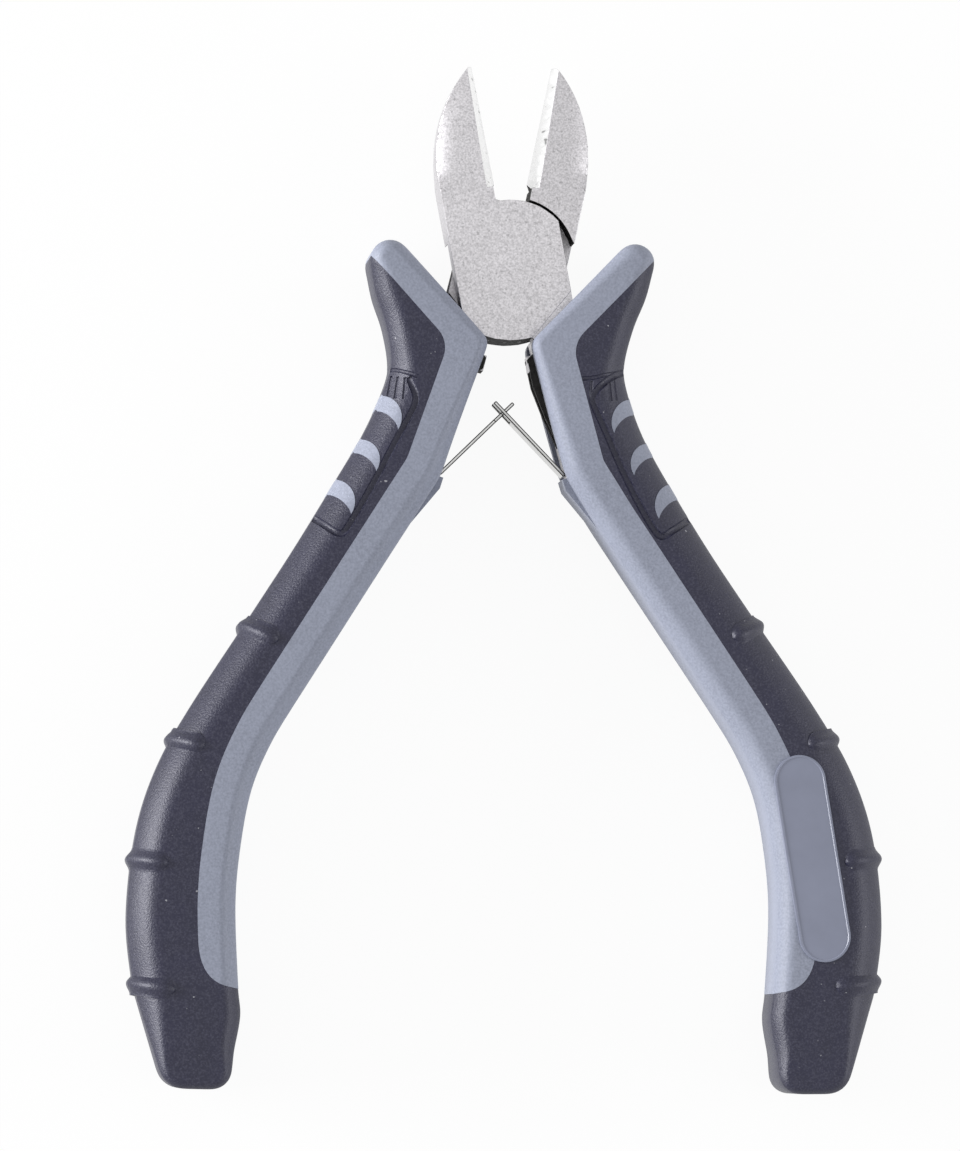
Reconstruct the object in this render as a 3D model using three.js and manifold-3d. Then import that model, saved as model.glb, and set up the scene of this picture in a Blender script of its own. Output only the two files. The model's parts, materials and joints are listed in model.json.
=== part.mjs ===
// Mini diagonal cutters: two identical forged halves on a riveted lap joint, two-colour grips
// and a pair of crossing leaf springs. Millimetres, +Z up, lying flat with the jaws toward +Y.
// Each half is drawn in the closed tool's own frame: pivot at the origin, jaw on the left of the
// centre line, handle on the right. The second half is the first one turned over about the tool's axis.
import * as THREE from 'three';
import { mergeVertices } from 'three/addons/utils/BufferGeometryUtils.js';
import Module from 'manifold-3d';

const wasm = await Module();
wasm.setup();

const degrees = THREE.MathUtils.degToRad;
const point = (x, y) => new THREE.Vector2(x, y);
const toPoints = (pairs) => pairs.map(([x, y]) => point(x, y));

// Driving dimensions: opening
const OPEN_ANGLE = 22.8;

// Driving dimensions: head and jaws
const HEAD_THICKNESS = 6.4;
const LAP_CLEARANCE = 0.1;
const HEAD_OUTER = 6.15;
const PLATE_TOP_R = 6.6;
const PLATE_TOP_END = 30.3;
const PLATE_BOTTOM_R = 8.5;
const PLATE_CORNER_DROP = 4.3;
const PLATE_CORNER_SWEEP = 12;
const SHOULDER_CLEARANCE = 0.25;
const JAW_LENGTH = 21.6;
const JAW_STRAIGHT = 8.0;
const JAW_BULGE_X = 6.35;
const JAW_BULGE_Y = 16.8;
const JAW_TIP_FLAT = 0.45;
const JAW_TIP_THICKNESS = 3.7;
const JAW_FLAT_R = 5.8;
const JAW_FLAT_X = -2.5;
const JAW_FLAT_Y = 4.05;
const EDGE_START = 8.7;
const EDGE_GAP = 0.06;
const BEVEL_ANGLE = 20;
const NOTCH_DEPTH = 0.45;

// Driving dimensions: pivot rivet
const RIVET_R = 2.0;
const RIVET_HEAD_R = 2.8;
const RIVET_HEAD_DEPTH = 0.9;
const RIVET_CLEARANCE = 0.06;
const RIVET_COVER = 1.0;

// Driving dimensions: tang
const TANG_THICKNESS = 5.0;
const TANG_WIDTH = 3.6;
const TANG_RECESS = 0.3;
const TANG_INSET = 2.0;
const TANG_END = 70;
const LUG_DROP = 1.0;
const LUG_LENGTH = 1.7;
const LUG_THICKNESS = 3.0;
const LUG_GAP = 0.25;

// Driving dimensions: grip outline in the closed frame
const GRIP_THICKNESS = 11;
const ELBOW = [0.5, -9.0];
const ELBOW_R = 1.0;
const WING_ANGLE = 54.4;
const WING_LENGTH = 16.0;
const WING_TIP_R = 2.1;
const NOTCH_END = [2.05, -24.0];
const LIP_PROUD = 0.4;
const LIP_LENGTH = 1.2;
const SHANK_START = [4.3, -29.9];
const SHANK_END = [12.75, -51.2];
const PALM_INNER = [
  [14.35, -55.8],
  [15.3, -61.0],
  [15.2, -67.0],
  [14.3, -73.3],
  [12.25, -81.6],
];
const HEEL_INNER = [[11.45, -84.6], [11.5, -88.4]];
const BUTT_INNER_CORNER = [11.2, -92.5];
const BUTT_OUTER_CORNER = [17.9, -93.75];
const BUTT_INNER_R = 2.1;
const BUTT_OUTER_R = 2.6;
const WING_OUTER = [[13.4, -6.6], [11.6, -9.5], [10.1, -13.0], [9.95, -15.6]];
const SHANK_OUTER = [
  [10.9, -21.0],
  [13.0, -27.4],
  [15.5, -34.3],
  [18.35, -41.4],
  [23.2, -53.2],
];
const PALM_OUTER = [[25.6, -60.6], [26.4, -68.0], [25.5, -77.0], [23.3, -84.0]];

// Driving dimensions: grip mouldings
const INNER_SHOULDER = 0.9;
const OUTER_SHOULDER = 1.8;
const SKIN = 1.5;
const MOULD_GAP = 0.3;
const STRIP_WIDTH = 4.1;
const STRIP_CORNER_R = 3.0;
const STRIP_END = 81.9;
const STRIP_END_R = 4.2;
const STRIP_END_LEAN = 1.0;
const CRESCENT_DROPS = [17.5, 22.5, 27.4];
const CRESCENT_WIDTH = 1.5;
const CRESCENT_REACH = 2.6;
const CRESCENT_SWEEP = 1.9;
const CRESCENT_TIP = 0.4;
const CRESCENT_OVERRUN = 1.0;
const RIB_DROPS = [44.7, 57.2, 69.7, 82.4];
const RIB_WIDTH = 2.0;
const RIB_REACH = 3.4;
const RIB_PROUD = 0.5;
const RIB_INSET = 0.6;
const PAD_CENTRE = [19.2, -68.6];
const PAD_LENGTH = 22.2;
const PAD_WIDTH = 5.5;
const PAD_TILT = 2.2;
const PAD_PROUD = 0.25;

// Driving dimensions: leaf springs
const SPRING_THICKNESS = 0.4;
const SPRING_WIDTH = 3.2;
const SPRING_SEAT = 0.12;
const BLADE_ANGLE = 33.5;
const BLADE_ROOT_RISE = 0.5;
const CROSSING_MARGIN = 1.3;
const TIP_PAST_CROSSING = 1.5;
const FORK_SLOT = 1.6;
const TONGUE_WIDTH = 1.0;
const FOOT_LENGTH = 6.0;
const FOOT_GAP = 0.35;

// Mesh resolution
const CIRCLE_STEPS = 40;
const CORNER_STEPS = 4;
const SPLINE_STEP = 3.2;
const SHOULDER_STEPS = 2;
const FAR = 40;

// Derived sizes
const HALF_HEAD = HEAD_THICKNESS / 2;
const HALF_TANG = TANG_THICKNESS / 2;
const HALF_GRIP = GRIP_THICKNESS / 2;
const HALF_LAP = LAP_CLEARANCE / 2;
const openTurn = degrees(OPEN_ANGLE / 2);
const plateInner = PLATE_TOP_R * Math.cos(degrees(PLATE_TOP_END));
const middle = point(0, 0);
const elbow = point(...ELBOW);
const notchEnd = point(...NOTCH_END);
const shankStart = point(...SHANK_START);
const shankEnd = point(...SHANK_END);
const buttInnerCorner = point(...BUTT_INNER_CORNER);
const buttOuterCorner = point(...BUTT_OUTER_CORNER);
const padCentre = point(...PAD_CENTRE);
const palmInner = toPoints(PALM_INNER);
const heelInner = toPoints(HEEL_INNER);
const wingOuter = toPoints(WING_OUTER);
const shankOuter = toPoints(SHANK_OUTER);
const palmOuter = toPoints(PALM_OUTER);

// Solid geometry
function toSolid(geometry) {
  geometry.deleteAttribute('normal');
  geometry.deleteAttribute('uv');
  const merged = mergeVertices(geometry, 1e-5);
  const index = merged.index.array;
  const triVerts = [];
  for (let i = 0; i < index.length; i += 3) {
    const [a, b, c] = [index[i], index[i + 1], index[i + 2]];
    if (a !== b && b !== c && c !== a) triVerts.push(a, b, c);
  }
  const mesh = new wasm.Mesh({
    numProp: 3,
    vertProperties: Float32Array.from(merged.attributes.position.array),
    triVerts: Uint32Array.from(triVerts),
  });
  return new wasm.Manifold(mesh);
}

function toMesh(name, solid, material) {
  const { vertProperties, triVerts } = solid.getMesh();
  const geometry = new THREE.BufferGeometry();
  geometry.setAttribute('position', new THREE.BufferAttribute(Float32Array.from(vertProperties), 3));
  geometry.setIndex(new THREE.BufferAttribute(Uint32Array.from(triVerts), 1));
  geometry.computeVertexNormals();
  const mesh = new THREE.Mesh(geometry, material);
  mesh.name = name;
  return mesh;
}

function extrude(points, depth) {
  return new THREE.ExtrudeGeometry(new THREE.Shape(points), { depth, bevelEnabled: false });
}

function prism(points, low, high) {
  const geometry = extrude(points, high - low);
  geometry.translate(0, 0, low);
  return toSolid(geometry);
}

function roundedPrism(points, thickness, shoulder) {
  const geometry = new THREE.ExtrudeGeometry(new THREE.Shape(points), {
    depth: thickness - 2 * shoulder,
    bevelThickness: shoulder,
    bevelSize: shoulder,
    bevelOffset: -shoulder,
    bevelSegments: SHOULDER_STEPS,
  });
  geometry.translate(0, 0, shoulder - thickness / 2);
  return toSolid(geometry);
}

function disc(radius, low, high) {
  const circle = new THREE.Path().absarc(0, 0, radius, 0, 2 * Math.PI);
  return prism(circle.getPoints(CIRCLE_STEPS).slice(0, -1), low, high);
}

function lathe(profile) {
  const geometry = new THREE.LatheGeometry(profile.map(([r, z]) => point(r, z)), CIRCLE_STEPS);
  geometry.rotateX(Math.PI / 2);
  return toSolid(geometry);
}

// Plane geometry: outlines run counter-clockwise
function heading(angle) {
  return point(Math.sin(angle), Math.cos(angle));
}

function along(start, direction, distance) {
  return start.clone().addScaledVector(direction, distance);
}

function leftOf(direction) {
  return point(-direction.y, direction.x);
}

function rightOf(direction) {
  return point(direction.y, -direction.x);
}

function between(start, end) {
  return end.clone().sub(start).normalize();
}

function arc(centre, radius, startAngle, endAngle, steps = CORNER_STEPS) {
  const clockwise = endAngle < startAngle;
  const curve = new THREE.EllipseCurve(centre.x, centre.y, radius, radius, startAngle, endAngle, clockwise);
  return curve.getPoints(steps);
}

function roundCorner(before, corner, after, radius) {
  const back = between(corner, before);
  const ahead = between(corner, after);
  const halfAngle = Math.acos(back.dot(ahead)) / 2;
  const centre = along(corner, back.clone().add(ahead).normalize(), radius / Math.sin(halfAngle));
  const touch = (way) => along(corner, way, radius / Math.tan(halfAngle)).sub(centre).angle();
  const start = touch(back);
  const sweep = THREE.MathUtils.euclideanModulo(touch(ahead) - start + Math.PI, 2 * Math.PI) - Math.PI;
  return arc(centre, radius, start, start + sweep);
}

function smooth(points) {
  const curve = new THREE.SplineCurve(points);
  return curve.getSpacedPoints(Math.ceil(curve.getLength() / SPLINE_STEP));
}

function offsetLine(points, distance) {
  return points.map((p, i) => {
    const last = points.length - 1;
    const back = between(points[Math.max(i - 1, 0)], points[Math.max(i, 1)]);
    const ahead = between(points[Math.min(i, last - 1)], points[Math.min(i + 1, last)]);
    const normal = leftOf(back).add(leftOf(ahead)).normalize();
    return along(p, normal, distance / normal.dot(leftOf(back)));
  });
}

function growLoop(points, distance) {
  const count = points.length;
  const ring = [points[count - 1], ...points, points[0]];
  return offsetLine(ring, -distance).slice(1, -1);
}

function stadium(start, end, radius) {
  const angle = Math.atan2(end.y - start.y, end.x - start.x);
  const quarter = Math.PI / 2;
  const far = arc(end, radius, angle - quarter, angle + quarter, 2 * CORNER_STEPS);
  const near = arc(start, radius, angle + quarter, angle + 3 * quarter, 2 * CORNER_STEPS);
  return [...far, ...near];
}

// Grip edges
const wingLine = heading(degrees(WING_ANGLE));
const wingEnd = along(elbow, wingLine, WING_LENGTH);
const wingTipCentre = along(along(wingEnd, wingLine, -WING_TIP_R), rightOf(wingLine), WING_TIP_R);
const notchLine = between(elbow, notchEnd);
const wingBack = between(wingOuter[0], wingOuter[1]);
const innerPalm = smooth([shankEnd, ...palmInner, ...heelInner]);
const innerRun = [along(wingEnd, wingLine, WING_LENGTH), elbow, notchEnd, shankStart, ...innerPalm];
const wingTipArc = arc(
  wingTipCentre,
  WING_TIP_R,
  leftOf(wingBack).angle() - 2 * Math.PI,
  leftOf(wingLine).angle(),
  2 * CORNER_STEPS,
);
const outerEdge = smooth([wingTipArc[0], ...wingOuter, ...shankOuter, ...palmOuter]);

function outerEdgeAt(drop) {
  const i = outerEdge.findIndex((p) => p.y < -drop);
  const [a, b] = [outerEdge[i - 1], outerEdge[i]];
  return { at: a.clone().lerp(b, (a.y + drop) / (a.y - b.y)), inward: rightOf(between(a, b)) };
}

function gripOutline(elbowPoints) {
  const lastOuter = outerEdge[outerEdge.length - 1];
  const lastInner = innerPalm[innerPalm.length - 1];
  return [
    ...elbowPoints,
    notchEnd,
    shankStart,
    ...innerPalm,
    ...roundCorner(lastInner, buttInnerCorner, buttOuterCorner, BUTT_INNER_R),
    ...roundCorner(buttInnerCorner, buttOuterCorner, lastOuter, BUTT_OUTER_R),
    ...outerEdge.slice(1).reverse(),
    ...wingTipArc,
  ];
}

const sharpOutline = gripOutline([elbow]);
const softOutline = gripOutline(roundCorner(wingEnd, elbow, notchEnd, ELBOW_R));

// The light strip: the band of constant width along the wing's and the handle's inner edge
function stripOutline(width) {
  const [wingFar, corner, ...rest] = offsetLine(innerRun, width);
  const run = rest.filter((p) => p.y > STRIP_END_R - STRIP_END);
  const last = run[run.length - 1];
  const lean = point(last.x - STRIP_END_LEAN, -STRIP_END);
  const turn = new THREE.QuadraticBezierCurve(last, lean, point(last.x - STRIP_END_R, -STRIP_END));
  const edge = [
    wingFar,
    ...roundCorner(wingFar, corner, run[0], STRIP_CORNER_R),
    ...run,
    ...turn.getPoints(CORNER_STEPS).slice(1),
  ];
  const outside = [point(-FAR, -STRIP_END), point(-FAR, FAR), point(wingFar.x, FAR)];
  return [...edge, ...outside].reverse();
}

// The lip: the spring channel's closed end, standing proud of the grip's inner edge
function lipOutline() {
  const proud = (p) => along(p, rightOf(notchLine), LIP_PROUD);
  const sunk = (p) => along(p, leftOf(notchLine), TANG_RECESS + MOULD_GAP);
  const end = along(notchEnd, notchLine, LIP_LENGTH);
  return [proud(notchEnd), proud(end), shankStart, sunk(end), sunk(notchEnd)];
}

function crescentOutline(drop, grow) {
  const { at, inward } = outerEdgeAt(drop);
  const down = rightOf(inward).negate();
  const place = (reach, sweep) => along(along(at, inward, reach), down, sweep);
  const half = CRESCENT_WIDTH / 2 + grow;
  const upper = new THREE.QuadraticBezierCurve(
    place(-CRESCENT_OVERRUN, -half),
    place(CRESCENT_REACH, -half),
    place(CRESCENT_REACH + grow, CRESCENT_SWEEP + grow),
  );
  const lower = new THREE.QuadraticBezierCurve(
    place(CRESCENT_REACH - CRESCENT_TIP - grow, CRESCENT_SWEEP + grow),
    place(CRESCENT_REACH / 2, half),
    place(-CRESCENT_OVERRUN, half),
  );
  const outline = [...upper.getPoints(CORNER_STEPS), ...lower.getPoints(CORNER_STEPS)];
  return THREE.ShapeUtils.isClockWise(outline) ? outline.reverse() : outline;
}

function padOutline(grow) {
  const run = heading(degrees(PAD_TILT)).multiplyScalar((PAD_LENGTH - PAD_WIDTH) / 2);
  return stadium(padCentre.clone().sub(run), padCentre.clone().add(run), PAD_WIDTH / 2 + grow);
}

function ribSolid(drop) {
  const { at, inward } = outerEdgeAt(drop);
  const radius = RIB_WIDTH / 2;
  const outline = stadium(along(at, inward, radius - RIB_PROUD), along(at, inward, RIB_REACH), radius);
  return roundedPrism(outline, GRIP_THICKNESS - 2 * RIB_INSET, RIB_INSET);
}

// Tang: recessed behind the grip's inner edge beside the spring, buried in the grip below it
const tangTop = along(along(elbow, notchLine, TANG_RECESS), leftOf(notchLine), TANG_RECESS);
const tangBend = along(notchEnd, leftOf(notchLine), TANG_RECESS);

function tangEdges() {
  const shank = [shankStart, ...innerPalm].filter((p) => p.y > -TANG_END);
  const buried = offsetLine(shank, TANG_INSET);
  const outer = offsetLine(shank, TANG_INSET + TANG_WIDTH);
  return { inner: [tangTop, tangBend, ...buried], outer };
}

function tangOutline(grow) {
  const { inner, outer } = tangEdges();
  const root = [point(plateInner, 0), point(tangTop.x, 0)];
  const upperOuter = along(tangBend, leftOf(notchLine), TANG_WIDTH);
  return growLoop([...root, ...inner, ...outer.reverse(), upperOuter], grow);
}

function channelOutline() {
  const sink = TANG_RECESS + MOULD_GAP;
  const deep = (p) => along(p, leftOf(notchLine), sink);
  const open = (p) => along(p, rightOf(notchLine), HEAD_OUTER);
  const top = along(elbow, notchLine, -ELBOW_R);
  return [open(top), open(notchEnd), deep(notchEnd), deep(top)];
}

// Spring: a blade hinged at the foot of the channel, and its foot clamped between tang and grip
const footLine = between(tangBend, tangEdges().inner[2]);
const seat = SPRING_SEAT + SPRING_THICKNESS / 2;
const bladeRoot = along(along(tangBend, notchLine, -BLADE_ROOT_RISE), rightOf(notchLine), seat);
const bladeLine = heading(degrees(-BLADE_ANGLE));
const footTop = along(along(tangBend, footLine, FOOT_GAP), rightOf(footLine), seat);
const rootReach = bladeRoot.clone().rotateAround(middle, openTurn).x;
const bladeCrossing = rootReach / Math.sin(degrees(BLADE_ANGLE) + openTurn);
const bladeLength = bladeCrossing + TIP_PAST_CROSSING;

function stripAlong(start, direction, from, to, thickness) {
  const side = leftOf(direction).multiplyScalar(thickness / 2);
  const near = along(start, direction, from);
  const far = along(start, direction, to);
  return [near.clone().sub(side), far.clone().sub(side), far.clone().add(side), near.clone().add(side)];
}

function footOutline(grow) {
  return stripAlong(footTop, footLine, -grow, FOOT_LENGTH + grow, SPRING_THICKNESS + 2 * grow);
}

function bladeSolid(isFork) {
  const half = SPRING_WIDTH / 2;
  const blade = prism(stripAlong(bladeRoot, bladeLine, 0, bladeLength, SPRING_THICKNESS), -half, half);
  const round = arc(bladeRoot, SPRING_THICKNESS / 2, 0, 2 * Math.PI, 4 * CORNER_STEPS).slice(0, -1);
  const eye = prism(round, -half, half);
  const crossingStart = bladeCrossing - CROSSING_MARGIN;
  const crossing = stripAlong(bladeRoot, bladeLine, crossingStart, 2 * bladeLength, 4 * SPRING_THICKNESS);
  const whole = blade.add(eye);
  if (isFork) return whole.subtract(prism(crossing, -FORK_SLOT / 2, FORK_SLOT / 2));
  return whole
    .subtract(prism(crossing, TONGUE_WIDTH / 2, SPRING_WIDTH))
    .subtract(prism(crossing, -SPRING_WIDTH, -TONGUE_WIDTH / 2));
}

function footSolid() {
  return prism(footOutline(0), -SPRING_WIDTH / 2, SPRING_WIDTH / 2);
}

// Forged half: jaw, lap plate and tang in one piece
function jawOutline() {
  const edgeX = -EDGE_GAP / 2;
  const side = new THREE.QuadraticBezierCurve(
    point(-JAW_TIP_FLAT, JAW_LENGTH),
    point(-JAW_BULGE_X, JAW_BULGE_Y),
    point(-HEAD_OUTER, JAW_STRAIGHT),
  );
  const notchX = edgeX - NOTCH_DEPTH;
  return [
    point(edgeX, JAW_LENGTH),
    ...side.getPoints(3 * CORNER_STEPS),
    point(-HEAD_OUTER, PLATE_TOP_R / 2),
    point(notchX, PLATE_TOP_R - NOTCH_DEPTH),
    point(notchX, EDGE_START - NOTCH_DEPTH),
    point(edgeX, EDGE_START),
  ];
}

// The space beside the cutting edge: the edge stands at mid-thickness and slopes away above it
function edgeRelief() {
  const rise = Math.tan(degrees(BEVEL_ANGLE)) * HEAD_THICKNESS;
  const section = [
    point(-EDGE_GAP / 2, 0),
    point(HEAD_OUTER, 0),
    point(HEAD_OUTER, HEAD_THICKNESS),
    point(-rise, HEAD_THICKNESS),
  ];
  const geometry = extrude(section, JAW_LENGTH);
  geometry.rotateX(Math.PI / 2);
  geometry.translate(0, EDGE_START - NOTCH_DEPTH + JAW_LENGTH, 0);
  return toSolid(geometry);
}

// The jaw's two faces: flat around the joint, then falling to the tip as a shallow cone
function jawFaces() {
  const reach = Math.hypot(JAW_LENGTH - JAW_FLAT_Y, JAW_FLAT_X);
  const slope = (HEAD_THICKNESS - JAW_TIP_THICKNESS) / 2 / (reach - JAW_FLAT_R);
  const rim = reach + JAW_FLAT_R;
  const rimHalf = HALF_HEAD - slope * (rim - JAW_FLAT_R);
  const profile = [
    [0, -HALF_HEAD],
    [JAW_FLAT_R, -HALF_HEAD],
    [rim, -rimHalf],
    [rim, rimHalf],
    [JAW_FLAT_R, HALF_HEAD],
    [0, HALF_HEAD],
  ];
  return lathe(profile).translate([JAW_FLAT_X, JAW_FLAT_Y, 0]);
}

function jawSolid() {
  const relief = edgeRelief();
  return prism(jawOutline(), -HALF_HEAD, HALF_HEAD)
    .intersect(jawFaces())
    .subtract(relief)
    .subtract(relief.mirror([0, 0, 1]));
}

function plateOutline() {
  const cornerAngle = Math.PI + Math.atan2(PLATE_CORNER_DROP, HEAD_OUTER);
  const bottomStart = cornerAngle + degrees(PLATE_CORNER_SWEEP);
  const notchX = -EDGE_GAP / 2 - NOTCH_DEPTH;
  return [
    point(-HEAD_OUTER, JAW_STRAIGHT),
    point(-HEAD_OUTER, -PLATE_CORNER_DROP),
    ...arc(middle, PLATE_BOTTOM_R, bottomStart, 1.5 * Math.PI, 2 * CORNER_STEPS),
    point(tangTop.x, -PLATE_BOTTOM_R),
    point(plateInner, -PLATE_CORNER_DROP),
    ...arc(middle, PLATE_TOP_R, degrees(PLATE_TOP_END), Math.PI / 2, 2 * CORNER_STEPS),
    point(notchX, PLATE_TOP_R + SHOULDER_CLEARANCE),
    point(notchX, JAW_STRAIGHT),
  ];
}

function lugOutline() {
  const top = along(tangTop, notchLine, LUG_DROP);
  const bottom = along(top, notchLine, LUG_LENGTH);
  const sunk = (p) => along(p, leftOf(notchLine), TANG_RECESS);
  return [point(LUG_GAP / 2, top.y), point(LUG_GAP / 2, bottom.y), sunk(bottom), sunk(top)];
}

function halfSolid(isRivetSide) {
  const shoulder = disc(PLATE_TOP_R + SHOULDER_CLEARANCE, -FAR, HALF_LAP);
  const rootCut = disc(PLATE_BOTTOM_R + SHOULDER_CLEARANCE, -FAR, HALF_LAP);
  const jaw = jawSolid().subtract(shoulder);
  const tang = prism(tangOutline(0), -HALF_TANG, HALF_TANG).subtract(rootCut);
  const plate = prism(plateOutline(), HALF_LAP, HALF_HEAD);
  const lug = prism(lugOutline(), -LUG_THICKNESS / 2, LUG_THICKNESS / 2);
  return jaw.add(plate).add(tang).add(lug).subtract(isRivetSide ? blindBore() : headBore());
}

// Rivet: blind in the front plate, with a flush head in the back plate
function blindBore() {
  return disc(RIVET_R + RIVET_CLEARANCE, 0, HALF_HEAD - RIVET_COVER + RIVET_CLEARANCE);
}

function headProfile(grow, front) {
  const shank = RIVET_R + grow;
  const head = RIVET_HEAD_R + grow;
  const neck = RIVET_HEAD_DEPTH - HALF_HEAD;
  return [[0, -HALF_HEAD], [head, -HALF_HEAD], [shank, neck], [shank, front], [0, front]];
}

function headBore() {
  const bore = lathe(headProfile(RIVET_CLEARANCE, HALF_HEAD));
  const mouth = disc(RIVET_HEAD_R + RIVET_CLEARANCE, -HEAD_THICKNESS, -HALF_HEAD);
  return bore.add(mouth).rotate([0, 180, 0]);
}

function rivetSolid() {
  return lathe(headProfile(0, HALF_HEAD - RIVET_COVER - RIVET_CLEARANCE));
}

// Grip: light core with the strip, the crescents and the pad showing, dark overmould around it
function headPocket() {
  const half = HALF_HEAD + MOULD_GAP;
  return disc(PLATE_BOTTOM_R + MOULD_GAP, -half, half);
}

function baseSolid(cover) {
  return prism(growLoop(sharpOutline, -cover), cover - HALF_GRIP, HALF_GRIP - cover);
}

function gripPockets() {
  const half = HALF_TANG + MOULD_GAP;
  const tang = prism(tangOutline(MOULD_GAP), -half, half);
  const channel = prism(channelOutline(), -half, half);
  const foot = prism(footOutline(MOULD_GAP), -half, half);
  return headPocket().add(tang).add(channel).add(foot);
}

function crescents(grow) {
  const window = (drop) => prism(crescentOutline(drop, grow), -HALF_GRIP, HALF_GRIP);
  const solids = CRESCENT_DROPS.map(window);
  return solids.reduce((all, next) => all.add(next));
}

function coreSolid() {
  const strip = roundedPrism(softOutline, GRIP_THICKNESS, INNER_SHOULDER)
    .intersect(prism(stripOutline(STRIP_WIDTH - MOULD_GAP / 2), -HALF_GRIP, HALF_GRIP));
  const blank = roundedPrism(sharpOutline, GRIP_THICKNESS, OUTER_SHOULDER);
  const windows = crescents(0).intersect(blank);
  const pad = prism(padOutline(0), 0, HALF_GRIP + PAD_PROUD);
  const lip = prism(lipOutline(), -HALF_TANG, HALF_TANG);
  return baseSolid(SKIN + MOULD_GAP)
    .add(strip)
    .add(windows)
    .add(pad)
    .add(lip)
    .subtract(gripPockets());
}

function overmouldSolid() {
  const ribs = RIB_DROPS.map(ribSolid).reduce((all, next) => all.add(next));
  return roundedPrism(sharpOutline, GRIP_THICKNESS, OUTER_SHOULDER)
    .add(ribs)
    .subtract(prism(stripOutline(STRIP_WIDTH + MOULD_GAP / 2), -FAR, FAR))
    .subtract(baseSolid(SKIN))
    .subtract(crescents(MOULD_GAP))
    .subtract(prism(padOutline(MOULD_GAP), 0, FAR))
    .subtract(gripPockets());
}

// Assembly
const steel = new THREE.MeshStandardMaterial({ color: 0xb9b7b8, roughness: 0.5, metalness: 1 });
const springSteel = new THREE.MeshStandardMaterial({ color: 0xc4c4c6, roughness: 0.25, metalness: 1 });
const lightGrip = new THREE.MeshStandardMaterial({ color: 0x9297a3, roughness: 0.5, metalness: 0 });
const darkGrip = new THREE.MeshStandardMaterial({ color: 0x45444f, roughness: 0.7, metalness: 0 });

const core = coreSolid();
const overmould = overmouldSolid();

const frontHalf = new THREE.Group();
frontHalf.rotation.z = openTurn;
frontHalf.add(
  toMesh('front_half', halfSolid(true), steel),
  toMesh('pivot_rivet', rivetSolid(), steel),
  toMesh('right_grip_core', core, lightGrip),
  toMesh('right_grip_overmould', overmould, darkGrip),
  toMesh('right_spring_blade', bladeSolid(true), springSteel),
  toMesh('right_spring_foot', footSolid(), springSteel),
);

const turnedOver = new THREE.Group();
turnedOver.rotation.y = Math.PI;
turnedOver.add(
  toMesh('back_half', halfSolid(false), steel),
  toMesh('left_grip_core', core, lightGrip),
  toMesh('left_grip_overmould', overmould, darkGrip),
  toMesh('left_spring_blade', bladeSolid(false), springSteel),
  toMesh('left_spring_foot', footSolid(), springSteel),
);
const backHalf = new THREE.Group();
backHalf.rotation.z = -openTurn;
backHalf.add(turnedOver);

// The tool stands on its origin: the middle of the base of its box
const tool = new THREE.Group();
tool.add(frontHalf, backHalf);
const box = new THREE.Box3().setFromObject(tool, true);
const boxCentre = box.getCenter(new THREE.Vector3());
tool.position.set(-boxCentre.x, -boxCentre.y, -box.min.z);

export default tool;
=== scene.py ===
"""The finished look of small diagonal cutters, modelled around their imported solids."""
import json
import math

import bmesh
import bpy
from mathutils import Euler, Matrix, Vector
from mathutils.geometry import interpolate_bezier, intersect_line_line_2d


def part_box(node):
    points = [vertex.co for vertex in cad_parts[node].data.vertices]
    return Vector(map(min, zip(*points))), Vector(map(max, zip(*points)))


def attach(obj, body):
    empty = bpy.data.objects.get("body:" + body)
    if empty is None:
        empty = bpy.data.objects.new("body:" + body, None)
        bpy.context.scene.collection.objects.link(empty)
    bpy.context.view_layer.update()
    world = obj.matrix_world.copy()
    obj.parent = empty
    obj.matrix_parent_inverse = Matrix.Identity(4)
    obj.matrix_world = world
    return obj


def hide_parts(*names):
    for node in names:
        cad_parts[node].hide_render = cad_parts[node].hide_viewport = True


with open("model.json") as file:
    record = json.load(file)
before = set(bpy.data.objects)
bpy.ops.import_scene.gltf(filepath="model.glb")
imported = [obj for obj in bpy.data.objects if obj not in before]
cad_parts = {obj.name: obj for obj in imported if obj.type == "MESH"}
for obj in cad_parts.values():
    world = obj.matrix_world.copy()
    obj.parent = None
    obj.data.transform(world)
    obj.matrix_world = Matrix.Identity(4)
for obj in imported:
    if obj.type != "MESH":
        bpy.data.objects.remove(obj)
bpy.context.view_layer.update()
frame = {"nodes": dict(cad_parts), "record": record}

bl_info = {
    "name": "Diagonal Cutters",
    "version": (1, 0, 0),
    "blender": (4, 5, 0),
    "location": "3D View > Sidebar > Cutters",
    "description": "Models small diagonal cutters with two-colour grips and crossing leaf springs",
    "category": "Object",
}

PHOTO_WIDTH = 960
MM = 0.001

# The two halves turn about the rivet: each is drawn closed, with the rivet at the origin
JOINTS = {joint["name"]: joint for joint in frame["record"]["behaviour"]["joints"]}
PIVOT = Vector(JOINTS["jaw_pivot"]["pos_m"])
HALF_OPEN = math.radians(JOINTS["jaw_pivot"]["range_deg"][1]) / 2
SIDES = ("right", "left")

# The handles of the real tool bow slightly to the left
BOW = 0.75 * MM
BOW_CENTRE = 11.0 * MM
BOW_REACH_UP = 14.0 * MM
BOW_REACH_DOWN = 23.0 * MM


def mm(x, y):
    return Vector((x, y)) * MM


def closed_to_row(side):
    """The turn and shift from the closed tool's own frame to where a half stands, open."""
    lift = Matrix.Translation(PIVOT)
    if side == "right":
        return lift @ Matrix.Rotation(HALF_OPEN, 4, "Z")
    return lift @ Matrix.Rotation(-HALF_OPEN, 4, "Z") @ Matrix.Rotation(math.pi, 4, "Y")


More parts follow.
